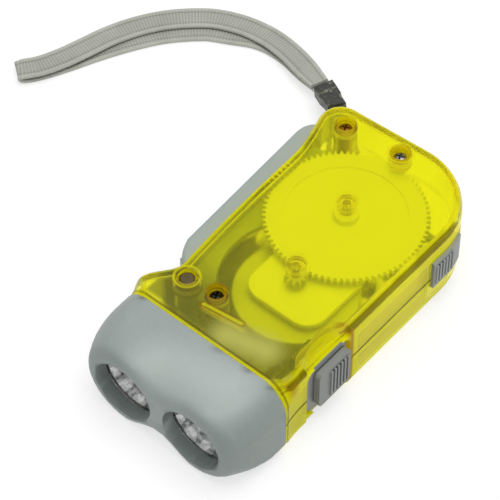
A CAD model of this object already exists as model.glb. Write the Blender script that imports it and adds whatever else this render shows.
import math

import bmesh
import bpy
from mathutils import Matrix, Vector


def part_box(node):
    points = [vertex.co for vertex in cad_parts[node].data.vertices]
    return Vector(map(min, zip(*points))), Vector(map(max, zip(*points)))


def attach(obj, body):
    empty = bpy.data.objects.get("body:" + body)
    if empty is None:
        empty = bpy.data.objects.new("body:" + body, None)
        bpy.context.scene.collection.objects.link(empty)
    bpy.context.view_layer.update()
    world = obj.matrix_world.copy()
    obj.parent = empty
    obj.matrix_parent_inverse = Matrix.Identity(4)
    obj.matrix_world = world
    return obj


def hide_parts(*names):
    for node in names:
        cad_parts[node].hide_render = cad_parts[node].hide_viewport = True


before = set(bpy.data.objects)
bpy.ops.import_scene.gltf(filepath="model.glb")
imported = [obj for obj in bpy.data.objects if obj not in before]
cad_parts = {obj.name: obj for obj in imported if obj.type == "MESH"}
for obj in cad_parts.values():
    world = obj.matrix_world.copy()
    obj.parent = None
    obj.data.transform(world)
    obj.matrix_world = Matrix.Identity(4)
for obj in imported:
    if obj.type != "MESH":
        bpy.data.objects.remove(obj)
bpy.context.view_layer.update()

scene = bpy.context.scene
scene.view_settings.view_transform = "Standard"


def in_scene(name, data):
    """A new object in the scene, made of that data."""
    thing = bpy.data.objects.new(name, data)
    scene.collection.objects.link(thing)
    return thing


# Camera: a long lens, looking down at the torch from its front right, with the lenses nearest. The torch
# lies on its back on the table, as it was laid out to be photographed.
camera_place = Vector((0.24483, -0.30487, 0.52155))
camera_aim = Vector((-0.0164, 0.0027, 0.012))
camera = in_scene("camera", bpy.data.cameras.new("camera"))
camera.data.lens = 179.64
camera.data.sensor_width = 36
camera.data.clip_start = 0.01
camera.location = camera_place
camera.rotation_euler = (camera_aim - camera_place).to_track_quat("-Z", "Y").to_euler()
scene.camera = camera


# Materials: each is a tree of nodes that is written out as sums.
class Amount:
    """A node's output that can stand in a sum, so that maths on it reads as maths."""

    def __init__(self, plan, socket):
        self.plan = plan
        self.socket = socket

    def maths(self, operation, *others):
        """This amount put through one operation, with the others after it."""
        return self.plan.maths(operation, self, *others)

    def __add__(self, other):
        return self.maths("ADD", other)

    def __radd__(self, other):
        return self.plan.maths("ADD", other, self)

    def __sub__(self, other):
        return self.maths("SUBTRACT", other)

    def __rsub__(self, other):
        return self.plan.maths("SUBTRACT", other, self)

    def __mul__(self, other):
        return self.maths("MULTIPLY", other)

    def __rmul__(self, other):
        return self.plan.maths("MULTIPLY", other, self)

    def over(self, low, high, slope="SMOOTHSTEP"):
        """0 up to low, 1 from high, and a soft step between them."""
        limits = {"Value": self, "From Min": low, "From Max": high}
        return self.plan.node("ShaderNodeMapRange", {"interpolation_type": slope}, limits)

    def under(self, low, high):
        """1 up to low, 0 from high, and a soft step between them."""
        return 1 - self.over(low, high)

    def between(self, low, high, soft=0.0002):
        """1 from low to high, and 0 outside them."""
        return self.over(low - soft, low + soft) * self.under(high - soft, high + soft)


class Plan:
    """A node tree, built up node by node."""

    def __init__(self, tree):
        self.tree = tree

    def node(self, kind, settings=None, sockets=None, output=0):
        """A node of that kind, its settings made first, then its sockets given values or links."""
        made = self.tree.nodes.new(kind)
        for name, value in (settings or {}).items():
            if name == "choices":
                while len(made.index_switch_items) < value:
                    made.index_switch_items.new()
            else:
                setattr(made, name, value)
        for name, value in (sockets or {}).items():
            self.put(made.inputs[name], value)
        return Amount(self, made.outputs[output])

    def maths(self, operation, *terms):
        """One operation on one to three terms."""
        return self.node("ShaderNodeMath", {"operation": operation}, dict(enumerate(terms)))

    def put(self, socket, value):
        """A value or a link put into a socket."""
        if isinstance(value, Amount):
            self.tree.links.new(value.socket, socket)
        else:
            socket.default_value = value

    def split(self, vector):
        """A vector's three parts."""
        parts = self.node("ShaderNodeSeparateXYZ", {}, {"Vector": vector}).socket.node.outputs
        return [Amount(self, part) for part in parts]

    def looked_at(self, *kinds):
        """1 for rays of those kinds, and 0 for all others."""
        seen, *more = [self.node("ShaderNodeLightPath", output=f"Is {kind} Ray") for kind in kinds]
        for look in more:
            seen = seen.maths("MAXIMUM", look)
        return seen


class Finish(Plan):
    """One material."""

    def __init__(self, name):
        self.material = bpy.data.materials.new(name)
        self.material.use_nodes = True
        super().__init__(self.material.node_tree)
        self.tree.nodes.clear()
        self.output = self.tree.nodes.new("ShaderNodeOutputMaterial")

    def place(self, stretch=(1, 1, 1)):
        """Where a point lies in the torch, in metres."""
        point = self.node("ShaderNodeTexCoord", output="Object")
        return self.node("ShaderNodeMapping", {}, {"Vector": point, "Scale": stretch})

    def axes(self):
        """The same place as three amounts: across, along and up."""
        return self.split(self.place())

    def noise(self, size, detail=2.0, roughness=0.5):
        """Soft random spots of about that size, in metres."""
        sockets = {"Vector": self.place(), "Scale": 1 / size, "Detail": detail, "Roughness": roughness}
        return self.node("ShaderNodeTexNoise", {"noise_dimensions": "3D"}, sockets)

    def mixed(self, share, first, second):
        """Two colours, mixed."""
        return self.node("ShaderNodeMix", {"data_type": "RGBA"}, {0: share, 6: first, 7: second}, output=2)

    def bumped(self, height, depth, strength):
        """A surface with that relief, as deep as depth in metres."""
        return self.node("ShaderNodeBump", {}, {"Height": height, "Distance": depth, "Strength": strength})

    def surface(self, **sockets):
        """The main shader. Its sockets go by their own names, with _ for a space."""
        named = {name.replace("_", " "): value for name, value in sockets.items()}
        return self.node("ShaderNodeBsdfPrincipled", {}, named)

    def dressed(self, **sockets):
        """The finished material of one main shader."""
        return self.done(self.surface(**sockets))

    def film(self, colour):
        """A film that only tints the light that goes through it."""
        return self.node("ShaderNodeBsdfTransparent", {}, {"Color": colour})

    def joined(self, share, first, second):
        """Two shaders, mixed."""
        return self.node("ShaderNodeMixShader", {}, {0: share, 1: first, 2: second})

    def done(self, shader, volume=None):
        """The finished material."""
        self.put(self.output.inputs["Surface"], shader)
        if volume:
            self.put(self.output.inputs["Volume"], volume)
        return self.material


def grey(share):
    """A neutral colour that sends back that share of the light."""
    return (share, share, share, 1)


def shade(red, green, blue):
    """A colour read off a screen, 0 to 255 each, as the shares of light that it sends back."""
    parts = [value / 255 for value in (red, green, blue)]
    return (*[part / 12.92 if part < 0.04045 else ((part + 0.055) / 1.055) ** 2.4 for part in parts], 1)


# Table: a sheet of white paper, wider than the view, lit softly from above. It goes to plain white in the
# picture and keeps the shadow under the torch.
def white_paper(glow):
    """Paper that takes the shadow, and is plain white to the camera and in reflections."""
    finish = Finish("white_paper")
    colour = finish.mixed(finish.noise(0.004, detail=3), grey(0.93), grey(0.95))
    lit = finish.surface(Base_Color=colour, Roughness=0.9, Specular_IOR_Level=0.1)
    pale = finish.surface(Base_Color=grey(0.4), Roughness=0.9, Specular_IOR_Level=0.0)
    light = finish.node("ShaderNodeEmission", {}, {"Strength": glow})
    shown = finish.node("ShaderNodeAddShader", {}, {0: pale, 1: light})
    return finish.done(finish.joined(finish.looked_at("Camera", "Glossy"), lit, shown))


paper_reach = 3.0
paper_glow = 0.66
sheet = bmesh.new()
bmesh.ops.create_circle(sheet, cap_ends=True, segments=96, radius=paper_reach)
paper_mesh = bpy.data.meshes.new("paper")
sheet.to_mesh(paper_mesh)
sheet.free()
paper_mesh.materials.append(white_paper(paper_glow))
paper = in_scene("paper", paper_mesh)


# Light: a white sky all round, and two lamps above the table.
sky_light = 0.5
sky_shine = 0.3
world = bpy.data.worlds.new("studio")
scene.world = world
world.use_nodes = True
sky = Plan(world.node_tree)
backdrop = world.node_tree.nodes["Background"].inputs
sky_seen = sky.looked_at("Camera", "Transmission")
sky_gloss = sky.looked_at("Glossy")
sky_strength = sky_seen + (1 - sky_seen) * (sky_gloss * sky_shine + (1 - sky_gloss) * sky_light)
sky.put(backdrop["Strength"], sky_strength)
sky.put(backdrop["Color"], grey(1.0))
lamp_aim = Vector((0, 0, 0.01))


def softbox(name, place, width, depth, power):
    """A flat white lamp that faces the torch."""
    lamp = bpy.data.lights.new(name, "AREA")
    lamp.shape = "RECTANGLE"
    lamp.size = width
    lamp.size_y = depth
    lamp.energy = power
    holder = in_scene(name, lamp)
    holder.location = place
    holder.rotation_euler = (lamp_aim - Vector(place)).to_track_quat("-Z", "Y").to_euler()


softbox("overhead_softbox", (0.15, 0.10, 1.2), width=0.9, depth=0.8, power=8.0)
softbox("window_glow", (-0.56, 0.40, 1.1), width=0.2, depth=0.2, power=0.3)


# Pieces: each takes the place of one solid, and most have the solid's own shape.
weld_distance = 2e-6


def stands_for(piece, node, body):
    """A piece that takes its node's place on that body."""
    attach(piece, body)
    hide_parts(node)
    return piece


def joined_up(node, name, finish, body="housing", bevel=0.0, sharp=38, segments=2):
    """A solid's own shape with its faces joined up, its edges eased and its curves smoothed."""
    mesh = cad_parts[node].data.copy()
    mesh.name = name
    shape = bmesh.new()
    shape.from_mesh(mesh)
    bmesh.ops.remove_doubles(shape, verts=shape.verts, dist=weld_distance)
    bmesh.ops.dissolve_degenerate(shape, edges=shape.edges, dist=1e-6)
    if bevel:
        flat_enough = math.radians(0.6)
        bmesh.ops.dissolve_limit(shape, angle_limit=flat_enough, verts=shape.verts, edges=shape.edges)
    shape.to_mesh(mesh)
    shape.free()
    mesh.materials.clear()
    mesh.materials.append(finish)
    mesh.shade_smooth()
    mesh.set_sharp_from_angle(angle=math.radians(sharp))
    piece = in_scene(name, mesh)
    if bevel:
        edge = piece.modifiers.new("eased_edges", "BEVEL")
        edge.width = bevel
        edge.segments = segments
        edge.limit_method = "ANGLE"
        edge.angle_limit = math.radians(sharp)
        edge.miter_outer = "MITER_ARC"
    flats = piece.modifiers.new("flat_faces", "WEIGHTED_NORMAL")
    flats.keep_sharp = True
    return stands_for(piece, node, body)


# Wrist strap: flat grey nylon webbing, woven with a cord along both edges, folded into one loop. Both ends
# are pinched in the crimp, and the two legs lie fanned side by side near it and on each other at the fold.
strap_width = 0.0073
strap_thickness = 0.0011
strap_middle = 0.72
strap_hem = 0.00042
strap_rib_pitch = 0.0009
strap_rib_depth = 0.16
strap_thread_pitch = 0.00062
strap_steps = 1180
strap_pinch = 0.26
strap_pinch_length = 0.009
strap_grey = shade(198, 200, 190)
strap_dark = shade(138, 140, 130)
strap_route = [
    (-0.0426, 0.0649, 0.0034), (-0.048, 0.0674, 0.0016), (-0.0533, 0.069, 0.00085),
    (-0.0584, 0.0701, 0.00075), (-0.0632, 0.0704, 0.00075), (-0.0675, 0.07, 0.00075),
    (-0.0712, 0.0689, 0.00075), (-0.0743, 0.0673, 0.00075), (-0.0774, 0.0656, 0.00075),
    (-0.0805, 0.064, 0.00075), (-0.0832, 0.0624, 0.00075), (-0.0879, 0.0581, 0.00075),
    (-0.0923, 0.0531, 0.00075), (-0.096, 0.0475, 0.00075), (-0.0995, 0.0412, 0.00075),
    (-0.1028, 0.0344, 0.00075), (-0.1059, 0.0273, 0.00075), (-0.1092, 0.0207, 0.00075),
    (-0.1114, 0.0172, 0.00085), (-0.1126, 0.0156, 0.0014), (-0.1128, 0.0153, 0.0021),
    (-0.1122, 0.0158, 0.0028), (-0.1105, 0.0178, 0.00305), (-0.1089, 0.0202, 0.003),
    (-0.1062, 0.0268, 0.00285), (-0.1042, 0.0342, 0.0026), (-0.1023, 0.0418, 0.00225),
    (-0.0995, 0.0489, 0.002), (-0.0956, 0.0554, 0.002), (-0.0909, 0.0609, 0.002),
    (-0.0854, 0.0657, 0.002), (-0.082, 0.0677, 0.002), (-0.0787, 0.0691, 0.002),
    (-0.0752, 0.0702, 0.002), (-0.0712, 0.0709, 0.00205), (-0.0668, 0.071, 0.0024),
    (-0.0623, 0.0704, 0.0029), (-0.0575, 0.0694, 0.0033), (-0.0523, 0.0678, 0.00375),
    (-0.048, 0.0663, 0.0042), (-0.0436, 0.0646, 0.0050),
]


def smooth_route(points, steps):
    """Even steps along one smooth curve through the points."""
    held = [Vector(p) for p in points]
    held = [2 * held[0] - held[1], *held, 2 * held[-1] - held[-2]]
    parts = 24
    dense = []
    for stretch in zip(held, held[1:], held[2:], held[3:]):
        knots = [0.0]
        for a, b in zip(stretch, stretch[1:]):
            knots.append(knots[-1] + math.sqrt((b - a).length))
        for part in range(parts):
            dense.append(curve_point(stretch, knots, knots[1] + (knots[2] - knots[1]) * part / parts))
    dense.append(held[-2])
    return even_steps(dense, steps)


def curve_point(stretch, knots, t):
    """The point at t between the middle two of four points, blended in three rounds."""
    row = stretch
    for spans in (((0, 1), (1, 2), (2, 3)), ((0, 2), (1, 3)), ((1, 2),)):
        row = [a.lerp(b, (t - knots[i]) / (knots[j] - knots[i])) for a, b, (i, j) in zip(row, row[1:], spans)]
    return row[0]


def lengths_along(points):
    """How far along the line each of its points lies."""
    lengths = [0.0]
    for a, b in zip(points, points[1:]):
        lengths.append(lengths[-1] + (b - a).length)
    return lengths


def even_steps(points, steps):
    """The same line with its points evenly spread."""
    lengths = lengths_along(points)
    spread, at = [], 0
    for step in range(steps + 1):
        want = lengths[-1] * step / steps
        while at < len(points) - 2 and lengths[at + 1] < want:
            at += 1
        share = (want - lengths[at]) / (lengths[at + 1] - lengths[at])
        spread.append(points[at].lerp(points[at + 1], min(share, 1)))
    return spread


def webbing_outline():
    """The webbing's section: thin across its middle, with a round cord in each edge."""
    half, thick = strap_width / 2, strap_thickness / 2
    outline = []
    for side in (1, -1):
        for turn in range(-100, 101, 25):
            angle = math.radians(turn)
            x = side * (half - strap_hem + strap_hem * math.cos(angle))
            outline.append((x, side * thick * math.sin(angle)))
        for share in (0.55, 0.2, -0.2, -0.55):
            outline.append((side * share * half, side * thick * strap_middle))
    return outline


def band_ways(path):
    """At each step of a path, the level way across the band and the way through it."""
    steepest = 0.8
    ways, across = [], None
    for before, after in zip([path[0], *path[:-1]], [*path[1:], path[-1]]):
        along = (after - before).normalized()
        level = Vector((-along.y, along.x, 0))
        if across and level.length < steepest:
            level = across.copy()
        level.normalize()
        if across and level.dot(across) < 0:
            level.negate()
        across = level
        ways.append((level, along.cross(level).normalized()))
    return ways


def swept_band(name, path, outline, finish):
    """A closed ribbed band along a path, with the flat cloth's own measures as its UV."""
    ribbed_half = strap_width / 2 - 0.0013
    pinch_curve = 1.5
    band = bmesh.new()
    flat = band.loops.layers.uv.new("UVMap")
    run = lengths_along(path)
    rings = []
    for point, at, (level, through) in zip(path, run, band_ways(path)):
        from_end = min(at, run[-1] - at, strap_pinch_length) / strap_pinch_length
        narrow = 1 - strap_pinch * (1 - from_end) ** pinch_curve
        rib = 1 + strap_rib_depth * math.sin(2 * math.pi * at / strap_rib_pitch)
        ring = []
        for x, y in outline:
            lift = y * (rib if abs(x) < ribbed_half else 1)
            ring.append(band.verts.new(point + level * x * narrow + through * lift))
        rings.append(ring)
    for i in range(len(path) - 1):
        for j in range(len(outline)):
            k = (j + 1) % len(outline)
            corners = ((i, j), (i, k), (i + 1, k), (i + 1, j))
            face = band.faces.new([rings[row][column] for row, column in corners])
            face.smooth = True
            for loop, (row, column) in zip(face.loops, corners):
                loop[flat].uv = (outline[column][0], run[row])
    for ring in (rings[0][::-1], rings[-1]):
        cap = band.faces.new(ring)
        for loop in cap.loops:
            loop[flat].uv = (0, 0)
    bmesh.ops.recalc_face_normals(band, faces=band.faces)
    mesh = bpy.data.meshes.new(name)
    band.to_mesh(mesh)
    band.free()
    mesh.materials.append(finish)
    return in_scene(name, mesh)


def woven_nylon():
    """Fine ribs across, threads along, and a twisted cord in each edge, set off by a groove."""
    finish = Finish("woven_nylon")
    across, along, _ = finish.split(finish.node("ShaderNodeUVMap"))
    rib = (along * (2 * math.pi / strap_rib_pitch)).maths("SINE")
    thread = (across * (2 * math.pi / strap_thread_pitch)).maths("SINE")
    groove_start, hem_start, hem_full = [strap_width / 2 - inset for inset in (0.0021, 0.0016, 0.0009)]
    from_middle = across.maths("ABSOLUTE")
    hem = from_middle.over(hem_start, hem_full)
    groove = from_middle.over(groove_start, hem_start) * (1 - hem)
    weave = rib * 0.5 * (1 - hem * 0.7) + thread * 0.3 * (1 - hem)
    uneven = finish.noise(0.006, detail=4)
    fuzz = finish.noise(0.0003, detail=2)
    light = 0.55 + weave * 0.3 + (uneven - 0.5) * 0.5 + (fuzz - 0.5) * 0.35 - groove * 0.3 + hem * 0.15
    relief = weave * 0.5 + fuzz * 0.25 - groove * 0.8
    return finish.dressed(
        Base_Color=finish.mixed(light, strap_dark, strap_grey), Roughness=0.82, Specular_IOR_Level=0.25,
        Normal=finish.bumped(relief, 0.00018, 0.8), Sheen_Weight=0.25, Sheen_Roughness=0.4,
    )


strap_path = smooth_route(strap_route, strap_steps)
strap = swept_band("webbing_loop", strap_path, webbing_outline(), woven_nylon())
stands_for(strap, "wrist_strap", "housing")


# Crimp: a dark moulded clip that pinches both ends of the webbing onto the anchor cord, and the cord itself,
# which is pale and twisted, and goes in at the slot and round the screw post of the lobe.
def moulded_crimp():
    """Dark plastic with pale wear."""
    finish = Finish("dark_crimp")
    blotch = finish.noise(0.0022, detail=5, roughness=0.62)
    colour = finish.mixed(blotch.over(0.55, 0.68), shade(46, 48, 40), shade(132, 136, 112))
    normal = finish.bumped(blotch, 0.0004, 0.7)
    return finish.dressed(Base_Color=colour, Roughness=0.32 + blotch * 0.2, Normal=normal)


def twisted_cord():
    """Pale cord with its strands on a slant."""
    finish = Finish("twisted_cord")
    lay = {"Vector": finish.place(), "Scale": 900.0, "Distortion": 1.2, "Detail": 1.0}
    strands = finish.node("ShaderNodeTexWave", {"bands_direction": "DIAGONAL"}, lay)
    colour = finish.mixed(strands, shade(160, 160, 150), shade(214, 214, 206))
    normal = finish.bumped(strands, 0.0002, 0.7)
    return finish.dressed(Base_Color=colour, Roughness=0.8, Normal=normal, Sheen_Weight=0.2)


crimp = joined_up("strap_crimp", "crimp_clip", moulded_crimp(), bevel=0.0004, segments=3)
anchor = joined_up("strap_anchor", "anchor_loop", twisted_cord())

# The clip is narrower than its block, and just long enough to close on the webbing.
crimp_width_share = 0.78
crimp_length_share = 1.03
crimp_across = Vector((0.562, 0.827, 0))
crimp_along = Vector((-0.762, 0.531, -0.371))
crimp_middle = sum((v.co for v in crimp.data.vertices), Vector()) / len(crimp.data.vertices)
for vertex in crimp.data.vertices:
    off = vertex.co - crimp_middle
    for way, share in ((crimp_across, crimp_width_share), (crimp_along, crimp_length_share)):
        vertex.co += way * off.dot(way) * (share - 1)

strap_length = lengths_along(strap_path)[-1]


# Shells: two halves in clear yellow plastic, 1.6 mm thick, injection moulded. They meet at a level seam, and
# the screw bosses and posts are moulded with them, so that the plastic is deeper in colour there. The places
# below are measured on the moulding in metres: across, along towards the tail, and up from the table.
faces_seen_through = 32
scene.cycles.transparent_max_bounces = faces_seen_through
shell_tint = (0.972, 0.98, 0.08, 1)
shell_depth_tint = (0.996, 0.982, 0.0, 1)
shell_film = (0.95, 0.95, 0.3, 1)
shell_depth = 700.0
shell_bend = 1.22
shell_haze = 0.07
shell_frost = 0.16
shell_milk = shade(240, 240, 10)
smoky_olive = shade(60, 62, 8)
gate_milk = shade(236, 236, 132)
panel_khaki = shade(244, 234, 40)
edge_lemon = shade(255, 250, 10)
edge_olive = shade(118, 102, 0)
boss_ochre = shade(178, 118, 0)
wall_skin = (0.0235, 0.0243)
panel_run = (-0.0040, 0.0236)
upper_panel = (0.0128, 0.0184)
lower_panel = (0.0040, 0.0090)
wall_bands = ((0.0185, 0.0219), (0.0119, 0.0127), (0.0004, 0.0038), (0.0092, 0.0110))
panel_ends = ((-0.0064, -0.0041), (0.0237, 0.0247))
panel_ends_up = (0.0025, 0.0185)
wall_top_line = (0.0222, 0.0244)
seam_line = (0.0111, 0.0119)
bay_wall = (0.0178, 0.0190)
bay_run = (-0.0325, -0.0062)
bay_top = (0.0228, 0.0232)
bay_corner = (0.0004, 0.0030)
bay_front = (-0.0310, -0.0280)
bay_front_up = (0.0170, 0.0215)
roof_rims = ((0.0216, 0.0231), (0.0237, 0.0249))
roof_top = (0.0238, 0.0244)
left_edge = (((-0.0223, 0.0290), (-0.0225, 0.0100)), ((-0.0225, 0.0100), (-0.0203, -0.0185)))
left_edge_width = (0.0013, 0.0022)
left_edge_up = (0.0200, 0.0206)
head_joint = (-0.0337, -0.0330)
joint_shadow = (-0.0328, -0.0322)
guide_rib = ((-0.0075, -0.0257), (0.0037, -0.0243))
rib_crest = (0.0003, 0.0006)
rib_foot = (0.0006, 0.0011)
gate_mark = ((0.0030, -0.0292), (0.0135, -0.0266))
gate_reach = 0.0072
boss_face = (0.0026, 0.0034)
boss_ring = (0.0031, 0.0037)
# For each boss, how deep the ochre is over it, and how bright the ring round it.
boss_tones = (
    ("screw_front", 0.5, 0.0), ("screw_lobe", 0.35, 0.0), ("screw_tail", 0.4, 0.4),
    ("lever_pivot_pin", 0.2, 0.6), ("gear_shaft", 0.06, 0.0), ("flywheel_shaft", 0.06, 0.0),
)


def middle_of(node):
    """The middle of a piece in plan."""
    low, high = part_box(node)
    return ((low[0] + high[0]) / 2, (low[1] + high[1]) / 2)


def away_from(across, along, start, end=None):
    """How far a point lies, in plan, from a place or from the line between two places."""
    x, y = across - start[0], along - start[1]
    if end:
        run = (end[0] - start[0], end[1] - start[1])
        length = math.hypot(*run)
        share = (x * (run[0] / length**2) + y * (run[1] / length**2)).over(0, 1, "LINEAR")
        x, y = x - share * run[0], y - share * run[1]
    return (x * x + y * y).maths("SQRT")


def bands(amount, edges):
    """1 in any of the bands, and 0 between them."""
    return sum(amount.between(low, high) for low, high in edges)


def khaki_panels(along, up, wall):
    """The two matt panels of the right wall."""
    heights = up.between(*upper_panel) * 0.8 + up.between(*lower_panel, soft=0.0006) * 0.6
    return wall * along.between(*panel_run, soft=0.0003) * heights


def olive_lines(along, up, wall):
    """The dark lines along the wall's top edge, the seam and the joint with the head."""
    wall_lines = up.between(*wall_top_line) * 0.75 + up.between(*seam_line, soft=0.0001) * 0.9
    return wall * wall_lines + along.between(*joint_shadow, soft=0.0001) * 0.6


def bay_lining(across, along, up):
    """The walls of the bay that the switch is set in."""
    return across.over(*bay_wall) * along.between(*bay_run, soft=0.0006) * up.under(*bay_top)


def bright_edges(across, along, up, wall, bay):
    """The edges that catch the light: round the wall's panels, in the bay, along the roof and at the head."""
    frames = bands(up, wall_bands) + bands(along, panel_ends) * up.between(*panel_ends_up)
    rim = bands(up, roof_rims) * (1 - wall) * 0.55
    for start, end in left_edge:
        line = away_from(across, along, start, end).under(*left_edge_width)
        rim = rim + line * up.over(*left_edge_up) * 0.3
    joint = along.between(*head_joint, soft=0.0001)
    rib = away_from(across, along, *guide_rib).under(*rib_crest)
    bright = wall * frames * 0.8 + bay * 0.75 + rim + joint * 0.7 + rib * 0.6
    for node, _, ring in boss_tones:
        away = away_from(across, along, middle_of(node))
        bright = bright + away.between(*boss_ring, soft=0.0003) * ring
    return bright.maths("MINIMUM", 0.85)


def ochre_depths(across, along, up, bay):
    """Where the plastic is deepest: in the bay's corners, in the bosses and beside the guide rib."""
    rear_corner = (along - bay_run[1]).maths("ABSOLUTE").under(*bay_corner)
    front_corner = along.between(*bay_front, soft=0.0014) * up.over(*bay_front_up) * 0.6
    ochre = bay * (rear_corner + front_corner) * 0.85
    for node, deep, _ in boss_tones:
        away = away_from(across, along, middle_of(node))
        ochre = ochre + away.under(*boss_face) * deep
    ochre = ochre + away_from(across, along, *guide_rib).between(*rib_foot) * 0.45
    return ochre.maths("MINIMUM", 0.9)


def smoke_inside(across, along, up, wall):
    """The dark board and empty corners behind the roof, the floor, and the wall round the flywheel."""
    under_roof = up.under(0.0210, 0.0218)
    in_roof = up.between(0.0231, 0.0237, soft=0.0001)
    front_run = along.over(-0.0320, -0.0300) * along.under(-0.024, -0.010)
    front = front_run * across.over(-0.0228, -0.0215) * across.under(-0.012, 0.002) * 0.92
    lobe_run = along.over(0.030, 0.038) * along.under(0.045, 0.049)
    lobe = lobe_run * across.under(-0.020, -0.014) * 0.3
    floor_height = up.under(0.0017, 0.0022)
    floor = floor_height * along.under(0.010, 0.024) * across.over(-0.0310, -0.0250) * (1 - wall)
    guard_height = up.between(0.0017, 0.0090)
    guard_ring = away_from(across, along, middle_of("flywheel_shaft")).between(0.0192, 0.0250)
    guard = guard_height * guard_ring * across.under(0.0212, 0.0222)
    smoke = (front + lobe) * under_roof + front * in_roof * 0.75 + floor * 0.4 + guard * 0.9
    return smoke.maths("MINIMUM", 0.93)


def clear_yellow(name):
    """Clear plastic with a little milk in it. Lamps shine through it as through a film."""
    finish = Finish(name)
    across, along, up = finish.axes()
    wall = across.over(*wall_skin)
    bay = bay_lining(across, along, up)
    ripple = finish.noise(0.009, detail=2)
    grain = finish.noise(0.0006, detail=2)
    normal = finish.bumped(ripple * 0.6 + grain * 0.12, 0.0003, 0.2)
    plastic = finish.surface(
        Base_Color=shell_tint, Roughness=shell_frost + ripple * 0.03, IOR=shell_bend, Transmission_Weight=1.0,
        Normal=normal, Coat_Weight=0.5 - wall * 0.4, Coat_Roughness=0.22, Coat_IOR=1.45,
    )
    gate = away_from(across, along, *gate_mark).under(0.0, gate_reach) * up.over(*roof_top) * 0.8
    layers = (
        (shell_haze, shell_milk),
        (smoke_inside(across, along, up, wall), smoky_olive),
        (gate, gate_milk),
        (khaki_panels(along, up, wall), panel_khaki),
        (bright_edges(across, along, up, wall, bay), edge_lemon),
        (olive_lines(along, up, wall), edge_olive),
        (ochre_depths(across, along, up, bay), boss_ochre),
    )
    for share, tone in layers:
        back = finish.surface(Base_Color=tone, Roughness=0.35, Normal=normal, Specular_IOR_Level=0.12)
        on = finish.node("ShaderNodeBsdfTranslucent", {}, {"Color": tone, "Normal": normal})
        plastic = finish.joined(share, plastic, finish.joined(0.45, back, on))
    shader = finish.joined(finish.looked_at("Shadow", "Diffuse"), plastic, finish.film(shell_film))
    depth = {"Color": shell_depth_tint, "Density": shell_depth}
    return finish.done(shader, finish.node("ShaderNodeVolumeAbsorption", {}, depth))


shell_finish = clear_yellow("clear_yellow")
for half in ("upper", "lower"):
    joined_up(f"{half}_shell", f"{half}_half_shell", shell_finish, bevel=0.0003, sharp=42)


# Head: one grey moulding with two lens bores, slipped over the front of both shells. Its skin has the fine
# spark texture of the mould.
head_gleam = ((-0.003, -0.0460), (0.013, -0.0410))
gleam_reach = 0.013
head_brow = (-0.0515, -0.0490)
head_right = (0.016, 0.026)


def satin_grey(name, light, dark, rough=0.42, gleam=None):
    """Grey plastic with a clouded skin, paler along the line of a gleam."""
    finish = Finish(name)
    cloud = finish.noise(0.03, detail=3)
    if gleam:
        across, along, _ = finish.axes()
        cloud = cloud * 0.5 + away_from(across, along, *gleam).under(0.0, gleam_reach) * 0.85
        cloud = cloud - along.under(*head_brow) * 0.5 - across.over(*head_right) * 0.6
    grain = finish.noise(0.00035, detail=3, roughness=0.6)
    speck = finish.noise(0.0011, detail=2)
    colour = finish.mixed(cloud * 0.55 + grain * 0.3 + speck * 0.15, dark, light)
    normal = finish.bumped(grain * 0.7 + speck * 0.3, 0.00006, 0.5)
    shine = rough + grain * 0.12
    return finish.dressed(Base_Color=colour, Roughness=shine, Normal=normal, Specular_IOR_Level=0.45)


head_finish = satin_grey("grey_head", shade(182, 191, 187), shade(138, 148, 144), gleam=head_gleam)
joined_up("head", "twin_lens_head", head_finish, sharp=50)


# Lamps: in each bore a clear lens, a metallised reflector with a faceted bowl, and a 5 mm white LED on a
# small green board behind both.
def clear_lens():
    """Clear plastic, through which lamps shine as through a film."""
    finish = Finish("clear_lens")
    grain = finish.noise(0.002, detail=2)
    glass = finish.surface(
        Base_Color=(0.97, 0.98, 0.98, 1), Roughness=0.02 + grain * 0.02, IOR=1.49, Transmission_Weight=1.0,
    )
    return finish.done(finish.joined(finish.looked_at("Shadow"), glass, finish.film((0.96, 0.97, 0.97, 1))))


def metallised(name, middle):
    """Bright metal film on a bowl that is pressed into petals round the lamp."""
    finish = Finish(name)
    across, along, up = finish.axes()
    petal_count = 11
    ring_pitch = 0.0024166
    angle = (up - middle[1]).maths("ARCTAN2", across - middle[0])
    petals = (angle * petal_count).maths("SINE") * 0.5 + 0.5
    rings = (along * (2 * math.pi / ring_pitch)).maths("SINE") * 0.5 + 0.5
    soft = finish.noise(0.0012, detail=2)
    streaks = petals.over(0.25, 0.6) * 0.55 + soft.over(0.42, 0.58) * 0.45
    colour = finish.mixed(streaks, (0.2, 0.21, 0.2, 1), (1.0, 1.0, 0.99, 1))
    normal = finish.bumped(petals * 0.7 + rings * 0.3, 0.0006, 0.6)
    return finish.dressed(Base_Color=colour, Metallic=0.6, Roughness=0.2 + soft * 0.1, Normal=normal)


def led_epoxy():
    """Clear epoxy, clouded by the chip under it."""
    finish = Finish("led_epoxy")
    grain = finish.noise(0.001)
    colour = finish.mixed(grain, (0.85, 0.86, 0.8, 1), (0.93, 0.94, 0.95, 1))
    return finish.dressed(Base_Color=colour, Roughness=0.12 + grain * 0.05, Transmission_Weight=0.35, IOR=1.5)


def board_green(name, ground, line):
    """Lacquered board with tracks that wander under the lacquer."""
    finish = Finish(name)
    cells = {"Vector": finish.place(), "Scale": 260.0}
    tracks = finish.node("ShaderNodeTexVoronoi", {"feature": "DISTANCE_TO_EDGE"}, cells)
    colour = finish.mixed(tracks.over(0.02, 0.08), line, ground)
    normal = finish.bumped(tracks, 0.0001, 0.3)
    return finish.dressed(Base_Color=colour, Roughness=0.45 + tracks * 0.1, Normal=normal)


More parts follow.
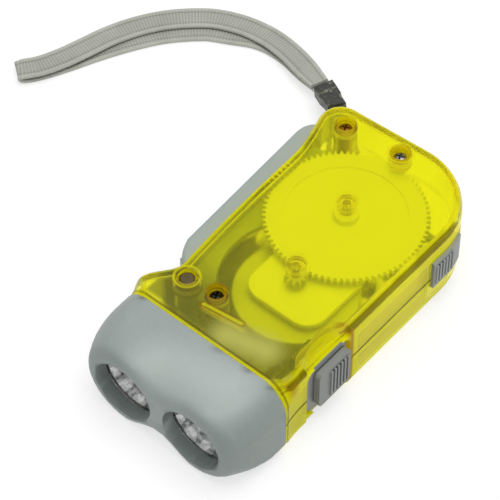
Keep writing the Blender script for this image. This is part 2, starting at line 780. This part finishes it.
lens_finish = clear_lens()
led_finish = led_epoxy()
for side in ("left", "right"):
    low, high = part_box(f"reflector_{side}")
    bowl_middle = ((low[0] + high[0]) / 2, (low[2] + high[2]) / 2)
    joined_up(f"lens_{side}", f"{side}_lens", lens_finish, bevel=0.0002)
    mirror_finish = metallised(f"metallised_{side}", bowl_middle)
    joined_up(f"reflector_{side}", f"{side}_reflector", mirror_finish)
    joined_up(f"led_{side}", f"{side}_led", led_finish)
lamp_board_finish = board_green("lamp_board_green", shade(44, 92, 52), shade(74, 128, 70))
joined_up("led_board", "lamp_board", lamp_board_finish)


# Squeeze lever: a grey moulded channel with an inner web, a hub on the pivot pin and a toothed arc. It is
# sprung outwards by a small torsion spring round the hub's post.
def turned_steel(name, light, dark, rough):
    """Bright metal with fine marks of the tool."""
    finish = Finish(name)
    lie = {"Vector": finish.place(stretch=(1, 1, 9)), "Scale": 2200.0, "Detail": 2.0}
    marks = finish.node("ShaderNodeTexNoise", {}, lie)
    dull = finish.noise(0.0015, detail=3)
    colour = finish.mixed(dull, light, dark)
    normal = finish.bumped(marks, 0.00004, 0.4)
    return finish.dressed(Base_Color=colour, Metallic=1.0, Roughness=rough + dull * 0.12, Normal=normal)


lever_finish = satin_grey("grey_lever", shade(174, 183, 176), shade(157, 167, 160), rough=0.4)
pin_finish = turned_steel("dull_pin", shade(128, 116, 84), shade(92, 82, 56), 0.45)
spring_finish = turned_steel("spring_wire", shade(150, 150, 150), shade(110, 110, 112), 0.3)
joined_up("squeeze_lever", "grip_lever", lever_finish, body="lever", bevel=0.0003, sharp=40)
joined_up("lever_pivot_pin", "pivot_pin", pin_finish, bevel=0.0002)
joined_up("lever_spring", "return_spring", spring_finish)


# Gears: moulded in natural white acetal, which is waxy and a little clear. The large one is driven through a
# pinion and two pawls by the lever's arc, and it drives the flywheel.
def acetal(name, light, dark):
    """Waxy plastic, faintly clouded."""
    finish = Finish(name)
    cloud = finish.noise(0.008, detail=3)
    grain = finish.noise(0.0004, detail=2)
    colour = finish.mixed(cloud * 0.7 + grain * 0.3, dark, light)
    normal = finish.bumped(grain, 0.00004, 0.4)
    rough = 0.34 + grain * 0.1
    return finish.dressed(Base_Color=colour, Roughness=rough, Normal=normal, Specular_IOR_Level=0.5)


class Recipe(Plan):
    """A Geometry Nodes tree that makes one solid from named sizes."""

    kinds = {int: "NodeSocketInt", float: "NodeSocketFloat", tuple: "NodeSocketVector"}

    def __init__(self, name, sizes):
        super().__init__(bpy.data.node_groups.new(name, "GeometryNodeTree"))
        self.sizes = sizes
        for size, value in sizes.items():
            self.tree.interface.new_socket(size, in_out="INPUT", socket_type=self.kinds[type(value)])
        self.tree.interface.new_socket("Geometry", in_out="OUTPUT", socket_type="NodeSocketGeometry")
        self.entry = self.tree.nodes.new("NodeGroupInput")
        self.exit = self.tree.nodes.new("NodeGroupOutput")

    def size(self, name):
        """One of the named sizes."""
        return Amount(self, self.entry.outputs[name])

    def point(self, x=0.0, y=0.0, z=0.0):
        """A point, or a block's three sizes."""
        return self.node("ShaderNodeCombineXYZ", {}, {"X": x, "Y": y, "Z": z})

    def lifted(self, place, by):
        """A place moved by another."""
        return self.node("ShaderNodeVectorMath", {"operation": "ADD"}, {0: place, 1: by})

    def chosen(self, index, values):
        """The value in the list that the index points to."""
        settings = {"data_type": "FLOAT", "choices": len(values)}
        sockets = {"Index": index, **{str(place): value for place, value in enumerate(values)}}
        return self.node("GeometryNodeIndexSwitch", settings, sockets)

    def rings(self, count, around):
        """A sheet of rings to bend into a solid, and for each point its ring and its step round the ring."""
        sheet = self.node("GeometryNodeMeshGrid", {}, {"Vertices X": count, "Vertices Y": around})
        index = self.node("GeometryNodeInputIndex")
        ring = (index + 0.5).maths("DIVIDE", around).maths("FLOOR")
        return sheet, ring, index.maths("MODULO", around)

    def bent(self, sheet, radius, angle, height, middle):
        """The sheet with each point put at its radius, angle and height round a middle line."""
        place = self.point(radius * angle.maths("COSINE"), radius * angle.maths("SINE"), height)
        place = self.lifted(place, middle)
        moved = self.node("GeometryNodeSetPosition", {}, {"Geometry": sheet, "Position": place})
        return self.node("GeometryNodeMergeByDistance", {}, {"Geometry": moved, "Distance": weld_distance})

    def made(self, shape, finish, name, sharp):
        """The solid as a plain piece."""
        whole = self.node("GeometryNodeRealizeInstances", {}, {"Geometry": shape})
        dressed = self.node("GeometryNodeSetMaterial", {}, {"Geometry": whole, "Material": finish})
        self.put(self.exit.inputs["Geometry"], dressed)
        blank = in_scene(name + "_blank", bpy.data.meshes.new(name + "_blank"))
        maker = blank.modifiers.new(name, "NODES")
        maker.node_group = self.tree
        for item in self.tree.interface.items_tree:
            if item.in_out == "INPUT":
                maker[item.identifier] = self.sizes[item.name]
        graph = bpy.context.evaluated_depsgraph_get()
        mesh = bpy.data.meshes.new_from_object(blank.evaluated_get(graph), depsgraph=graph)
        blank.modifiers.remove(maker)
        bpy.data.objects.remove(blank)
        mesh.name = name
        skin = bmesh.new()
        skin.from_mesh(mesh)
        bmesh.ops.recalc_face_normals(skin, faces=skin.faces)
        skin.to_mesh(mesh)
        skin.free()
        mesh.shade_smooth()
        mesh.set_sharp_from_angle(angle=math.radians(sharp))
        return in_scene(name, mesh)


def toothed_wheel(name, middle, turn, finish):
    """The large gear: rings from its bore over hub, web and rim, with teeth on its two outer rings."""
    teeth, pitch_radius = 82, 0.04305 / 2
    module = 2 * pitch_radius / teeth
    sizes = {
        "Teeth": teeth, "Root Radius": pitch_radius - 1.2 * module, "Tooth Height": 2.2 * module,
        "Root Half Angle": 0.0248, "Tip Half Angle": 0.0058, "Turn": turn, "Middle": (*middle, 0.0),
        "Bore": 0.00108, "Hub Radius": 0.0034, "Web Radius": 0.0164, "Skirt Radius": 0.0084,
        "Skirt Wall": 0.001, "Skirt Bottom": 0.014, "Rim Bottom": 0.0168, "Rim Top": 0.0182,
        "Web Top": 0.0178, "Hub Top": 0.0196, "Edge": 0.0002,
    }
    recipe = Recipe(name, sizes)
    size = recipe.size
    bore, hub, web = size("Bore"), size("Hub Radius"), size("Web Radius")
    skirt, skirt_inner, edge = size("Skirt Radius"), size("Skirt Radius") - size("Skirt Wall"), size("Edge")
    rim, rim_top, web_top = size("Rim Bottom"), size("Rim Top"), size("Web Top")
    hub_top, skirt_bottom = size("Hub Top"), size("Skirt Bottom")
    teeth_here = 0.0
    outline = [
        (bore, hub_top), (hub - edge, hub_top), (hub, hub_top - edge), (hub, web_top), (web, web_top),
        (web, rim_top), (teeth_here, rim_top), (teeth_here, rim), (skirt, rim), (skirt, skirt_bottom),
        (skirt_inner, skirt_bottom), (skirt_inner, rim), (bore, rim), (bore, hub_top),
    ]
    between_tooth_rings = 6.5
    corners = 4
    sheet, ring, step = recipe.rings(len(outline), size("Teeth") * corners + 1)
    tooth = (step * (1 / corners)).maths("FLOOR")
    from_centre = step - tooth * corners - 1.5
    at_tip = 1 - (from_centre.maths("ABSOLUTE") - 0.5)
    half = size("Root Half Angle") + at_tip * (size("Tip Half Angle") - size("Root Half Angle"))
    tooth_turn = (tooth * (2 * math.pi)).maths("DIVIDE", size("Teeth"))
    angle = size("Turn") + tooth_turn + from_centre.maths("SIGN") * half
    plain = 1 - ring.maths("COMPARE", between_tooth_rings, 0.6)
    tooth_radius = size("Root Radius") + at_tip * size("Tooth Height")
    radius = recipe.chosen(ring, [radius for radius, height in outline]) * plain + tooth_radius * (1 - plain)
    height = recipe.chosen(ring, [height for radius, height in outline])
    return recipe.made(recipe.bent(sheet, radius, angle, height, size("Middle")), finish, name, sharp=30)


gear_finish = acetal("white_acetal", (0.86, 0.87, 0.82, 1), (0.81, 0.82, 0.77, 1))
pawl_finish = acetal("pawl_acetal", (0.62, 0.61, 0.55, 1), (0.55, 0.54, 0.48, 1))
steel_finish = turned_steel("bright_steel", shade(168, 162, 150), shade(128, 122, 110), 0.34)
gear_middle = middle_of("gear_shaft")
rotor_middle = middle_of("flywheel_shaft")
gear_turn = math.atan2(rotor_middle[1] - gear_middle[1], rotor_middle[0] - gear_middle[0])
large_gear = toothed_wheel("large_gear", gear_middle, gear_turn, gear_finish)
stands_for(large_gear, "main_gear", "main_gear")
joined_up("drive_pinion", "small_pinion", gear_finish, body="drive_pinion", sharp=30)
joined_up("clutch_pawl_a", "pawl_first", pawl_finish, body="main_gear")
joined_up("clutch_pawl_b", "pawl_second", pawl_finish, body="main_gear")
joined_up("gear_shaft", "large_gear_shaft", steel_finish, bevel=0.0001)


# Generator: a moulded flywheel with a ring magnet turns over a coil between two claw plates, under a white
# bridge that holds the top of its shaft.
def sintered_ferrite():
    """Dark pressed magnet."""
    finish = Finish("sintered_ferrite")
    grain = finish.noise(0.0003, detail=3)
    colour = finish.mixed(grain, shade(52, 52, 55), shade(78, 78, 80))
    normal = finish.bumped(grain, 0.00006, 0.5)
    return finish.dressed(Base_Color=colour, Metallic=0.2, Roughness=0.6 + grain * 0.15, Normal=normal)


def enamelled_wire():
    """Copper wire in its brown enamel, turn on turn."""
    finish = Finish("enamelled_wire")
    lay = {"Vector": finish.place(), "Scale": 800.0, "Distortion": 0.3}
    turns = finish.node("ShaderNodeTexWave", {"bands_direction": "Z"}, lay)
    colour = finish.mixed(turns, shade(120, 60, 26), shade(206, 120, 58))
    normal = finish.bumped(turns, 0.0001, 0.8)
    return finish.dressed(Base_Color=colour, Metallic=0.7, Roughness=0.3 + turns * 0.1, Normal=normal)


rotor_finish = acetal("white_rotor", (0.62, 0.64, 0.58, 1), (0.56, 0.58, 0.52, 1))
zinc_finish = turned_steel("zinc_plate", shade(178, 177, 170), shade(128, 126, 118), 0.3)
bridge_finish = acetal("white_bridge", (0.9, 0.92, 0.9, 1), (0.84, 0.86, 0.84, 1))
joined_up("flywheel_rotor", "flywheel_disc", rotor_finish, body="flywheel", sharp=30)
joined_up("magnet_ring", "ring_magnet", sintered_ferrite(), body="flywheel", bevel=0.0001)
joined_up("flywheel_shaft", "flywheel_axle", steel_finish, bevel=0.0001)
joined_up("stator_lower", "lower_claws", zinc_finish)
joined_up("stator_upper", "upper_claws", zinc_finish)
joined_up("coil_bobbin", "bobbin", pawl_finish)
joined_up("coil_winding", "copper_coil", enamelled_wire())
joined_up("generator_bridge", "shaft_bridge", bridge_finish, bevel=0.0003)


# Circuit: a dark lacquered board under the flywheel, three button cells in shrunk sleeves, and the cradle
# that they lie in. Two insulated leads go from the board to the lamp board.
def plain_plastic(name, light, dark, rough):
    """Plastic of one colour, as it leaves the mould."""
    finish = Finish(name)
    grain = finish.noise(0.0005, detail=3)
    colour = finish.mixed(grain, dark, light)
    normal = finish.bumped(grain, 0.00005, 0.4)
    return finish.dressed(Base_Color=colour, Roughness=rough + grain * 0.1, Normal=normal)


black_finish = plain_plastic("black_plastic", shade(40, 40, 42), shade(26, 26, 28), 0.45)
cell_finish = plain_plastic("cell_sleeve", shade(84, 84, 62), shade(66, 66, 48), 0.4)
red_finish = plain_plastic("red_insulation", shade(196, 44, 36), shade(160, 30, 26), 0.35)
board_finish = board_green("dark_board", shade(36, 46, 34), shade(58, 72, 48))
joined_up("circuit_board", "main_board", board_finish, bevel=0.0002)
for number in (1, 2, 3):
    cell = f"cell_{number}"
    joined_up(f"button_{cell}", cell, cell_finish, bevel=0.0003, segments=3)
joined_up("cell_holder", "cell_tray", black_finish, bevel=0.0002)
joined_up("lead_wire_red", "red_lead", red_finish)
joined_up("lead_wire_black", "black_lead", black_finish)


# Switch: a grey moulded frame set in the bay of the right wall, with a ribbed slider block in it that slides
# along the body, and a black block of contacts behind it.
frame_finish = satin_grey("grey_frame", shade(150, 152, 154), shade(128, 130, 132), rough=0.4)
slider_finish = satin_grey("grey_slider", shade(146, 149, 146), shade(122, 125, 121), rough=0.45)
joined_up("switch_frame", "bay_frame", frame_finish, bevel=0.0003)
joined_up("switch_slider", "ribbed_slider", slider_finish, body="switch", bevel=0.00025)
joined_up("switch_contacts", "contact_block", black_finish, bevel=0.0002)


# Lock: a ribbed grey slider of moulded plastic on the right tail corner. Its arm reaches across the tail and
# holds the lever in when it is slid towards the tail.
lock_finish = satin_grey("grey_lock", shade(158, 161, 158), shade(136, 139, 136), rough=0.42)
joined_up("lock_slider", "ribbed_lock", lock_finish, body="lock", bevel=0.00025)


# Screws: pan-headed, with a cross recess and a rolled thread, in plated or blackened steel. Three hold the
# shells together from above, and two hold the bridge down on its posts.
def cross_screw(name, node, finish):
    """A screw of one threaded sheet of rings, with two crossed slots cut out of its head."""
    low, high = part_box(node)
    head_height, neck_length, pitch = 0.0015, 0.0006, 0.0007
    threads = int((high[2] - low[2] - head_height - neck_length) / pitch)
    sizes = {
        "Threads": threads, "Pitch": pitch, "Shank Radius": 0.00085, "Thread Radius": 0.0011,
        "Bottom": low[2], "Head Radius": 0.00205, "Head Bottom": high[2] - head_height, "Top": high[2],
        "Slot Width": 0.0005, "Slot Length": 0.0023, "Slot Depth": 0.001, "Middle": (*middle_of(node), 0.0),
    }
    recipe = Recipe(name, sizes)
    size = recipe.size
    shank, head, top, under = size("Shank Radius"), size("Head Radius"), size("Top"), size("Head Bottom")
    dome = [(0.94, 1.0), (1.0, 0.93), (1.0, 0.8), (0.9, 0.42), (0.72, 0.16), (0.45, 0.02), (0.0, 0.0)]
    above = [(shank, under)] + [(head * wide, top + (under - top) * drop) for wide, drop in dome]
    first_above = size("Threads") * 2 + 1
    steps_round = 24
    slot_turn = 0.35
    sheet, ring, step = recipe.rings(first_above + len(above), steps_round + 1)
    on_thread = ring.under(first_above - 0.8, first_above - 0.6)
    crest = ring.maths("MODULO", 2)
    thread_radius = (shank + crest * (size("Thread Radius") - shank)) * ring.over(0.2, 0.4)
    thread_height = size("Bottom") + ring * size("Pitch") * 0.5
    place = (ring - first_above).maths("MAXIMUM", 0)
    radius = thread_radius * on_thread + recipe.chosen(place, [wide for wide, up in above]) * (1 - on_thread)
    height = thread_height * on_thread + recipe.chosen(place, [up for wide, up in above]) * (1 - on_thread)
    body = recipe.bent(sheet, radius, step * (2 * math.pi / steps_round), height, size("Middle"))
    head_middle = recipe.lifted(size("Middle"), recipe.point(z=top))
    long, wide, deep = size("Slot Length"), size("Slot Width"), size("Slot Depth") * 2
    for block in (recipe.point(long, wide, deep), recipe.point(wide, long, deep)):
        cutter = recipe.node("GeometryNodeMeshCube", {}, {"Size": block})
        lie = {"Geometry": cutter, "Translation": head_middle, "Rotation": (0, 0, slot_turn)}
        meshes = {"Mesh 1": body, "Mesh 2": recipe.node("GeometryNodeTransform", {}, lie)}
        body = recipe.node("GeometryNodeMeshBoolean", {"operation": "DIFFERENCE"}, meshes)
    stands_for(recipe.made(body, finish, name, sharp=32), node, "housing")


screw_finishes = {
    "front": turned_steel("black_steel", shade(74, 70, 48), shade(44, 42, 28), 0.4),
    "lobe": turned_steel("yellow_zinc", shade(170, 122, 40), shade(130, 88, 26), 0.45),
    "tail": zinc_finish,
}
for place, screw_finish in screw_finishes.items():
    cross_screw(f"{place}_screw", f"screw_{place}", screw_finish)
for letter, place in (("a", "first"), ("b", "second")):
    cross_screw(f"bridge_screw_{place}", f"bridge_screw_{letter}", zinc_finish)
